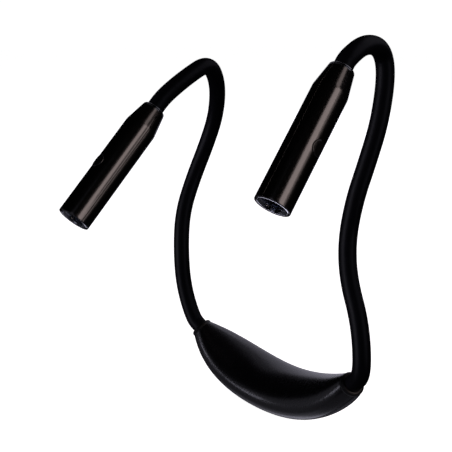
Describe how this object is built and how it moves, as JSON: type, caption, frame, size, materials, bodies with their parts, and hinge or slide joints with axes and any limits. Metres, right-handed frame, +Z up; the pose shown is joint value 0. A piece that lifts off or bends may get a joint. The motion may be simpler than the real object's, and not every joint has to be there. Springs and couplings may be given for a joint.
{
  "type": "neck reading light",
  "caption": "Neck reading light: a crescent pod that lies round the nape, bendable rubber-sleeved arms and slim torch-shaped heads with push buttons.",
  "frame": {"origin": "middle of the pod's hollow side, where it rests on the neck", "axes": "+Z up along the arms, +X towards the arm called right, -Y where the heads reach"},
  "size_m": [0.1742, 0.1428, 0.2231],
  "materials": {
    "pod_plastic": "satin black",
    "collar_plastic": "semi-gloss black",
    "head_plastic": "polished black",
    "button_plastic": "semi-gloss black",
    "arm_rubber": "matte black silicone rubber",
    "arm_core": "drawn",
    "ring_steel": "plain",
    "bezel_chrome": "bright",
    "lens_clear": "clear",
    "reflector_mirror": "metallised plastic",
    "lamp_chip": "pale yellow phosphor window",
    "lamp_board": "white solder mask",
    "circuit_board": "green solder mask",
    "switch_plastic": "plain",
    "cell_foil": "foil",
    "wire_insulation": "plain"
  },
  "bodies": {
    "pod": {"neck_shell": "pod_plastic", "back_cover": "pod_plastic", "left_end_collar": "collar_plastic", "right_end_collar": "collar_plastic", "left_arm_anchor": "ring_steel", "right_arm_anchor": "ring_steel", "battery_cell": "cell_foil", "control_board": "circuit_board", "control_screws": "ring_steel", "charge_socket": "ring_steel", "pod_leads": "wire_insulation", "left_root_bend_sleeve": "arm_rubber", "left_root_bend_core": "arm_core", "right_root_bend_sleeve": "arm_rubber", "right_root_bend_core": "arm_core"},
    "left_lower_arm": {"left_lower_span_sleeve": "arm_rubber", "left_lower_span_core": "arm_core", "left_middle_bend_sleeve": "arm_rubber", "left_middle_bend_core": "arm_core"},
    "left_upper_arm": {"left_upper_span_sleeve": "arm_rubber", "left_upper_span_core": "arm_core"},
    "left_head": {"left_top_bend_sleeve": "arm_rubber", "left_top_bend_core": "arm_core", "left_button_half_shell": "head_plastic", "left_plain_half_shell": "head_plastic", "left_bezel": "bezel_chrome", "left_lens": "lens_clear", "left_reflector": "reflector_mirror", "left_leds": "lamp_chip", "left_led_board": "lamp_board", "left_switch_board": "circuit_board", "left_switch": "switch_plastic", "left_arm_ferrule": "ring_steel", "left_wires": "wire_insulation"},
    "left_button": {"left_button": "button_plastic"},
    "right_lower_arm": {"right_lower_span_sleeve": "arm_rubber", "right_lower_span_core": "arm_core", "right_middle_bend_sleeve": "arm_rubber", "right_middle_bend_core": "arm_core"},
    "right_upper_arm": {"right_upper_span_sleeve": "arm_rubber", "right_upper_span_core": "arm_core"},
    "right_head": {"right_top_bend_sleeve": "arm_rubber", "right_top_bend_core": "arm_core", "right_button_half_shell": "head_plastic", "right_plain_half_shell": "head_plastic", "right_bezel": "bezel_chrome", "right_lens": "lens_clear", "right_reflector": "reflector_mirror", "right_leds": "lamp_chip", "right_led_board": "lamp_board", "right_switch_board": "circuit_board", "right_switch": "switch_plastic", "right_arm_ferrule": "ring_steel", "right_wires": "wire_insulation"},
    "right_button": {"right_button": "button_plastic"}
  },
  "joints": [
    {"name": "left_arm_spread", "type": "hinge", "parent": "pod", "child": "left_lower_arm", "pos_m": [-0.07367, -0.00819, 0.031], "axis": [0, -0.9397, -0.342], "range_deg": [-10, 30], "deforming": ["left_root_bend_sleeve", "left_root_bend_core"]},
    {"name": "left_arm_lean", "type": "hinge", "parent": "left_lower_arm", "child": "left_upper_arm", "pos_m": [-0.0845, 0.01184, 0.12008], "axis": [1, 0, 0], "range_deg": [-35, 35], "deforming": ["left_middle_bend_sleeve", "left_middle_bend_core"]},
    {"name": "left_head_aim", "type": "hinge", "parent": "left_upper_arm", "child": "left_head", "pos_m": [-0.04517, -0.03163, 0.1766], "axis": [-0.9997, 0.0263, 0], "range_deg": [-25, 60], "deforming": ["left_top_bend_sleeve", "left_top_bend_core"]},
    {"name": "left_button_press", "type": "slide", "parent": "left_head", "child": "left_button", "axis": [0.1059, 0.7108, -0.6953], "range_m": [0, 0.0005], "stiffness_N_per_m": 400, "springref_m": -0.001},
    {"name": "right_arm_spread", "type": "hinge", "parent": "pod", "child": "right_lower_arm", "pos_m": [0.07139, -0.00802, 0.03704], "axis": [0, 0.9397, 0.342], "range_deg": [-10, 30], "deforming": ["right_root_bend_sleeve", "right_root_bend_core"]},
    {"name": "right_arm_lean", "type": "hinge", "parent": "right_lower_arm", "child": "right_upper_arm", "pos_m": [0.05579, 0.00599, 0.12494], "axis": [1, 0, 0], "range_deg": [-35, 35], "deforming": ["right_middle_bend_sleeve", "right_middle_bend_core"]},
    {"name": "right_head_aim", "type": "hinge", "parent": "right_upper_arm", "child": "right_head", "pos_m": [0.06677, -0.00769, 0.19694], "axis": [-0.9991, -0.0434, 0], "range_deg": [-25, 60], "deforming": ["right_top_bend_sleeve", "right_top_bend_core"]},
    {"name": "right_button_press", "type": "slide", "parent": "right_head", "child": "right_button", "axis": [-0.9942, -0.0979, 0.0434], "range_m": [0, 0.0005], "stiffness_N_per_m": 400, "springref_m": -0.001}
  ]
}
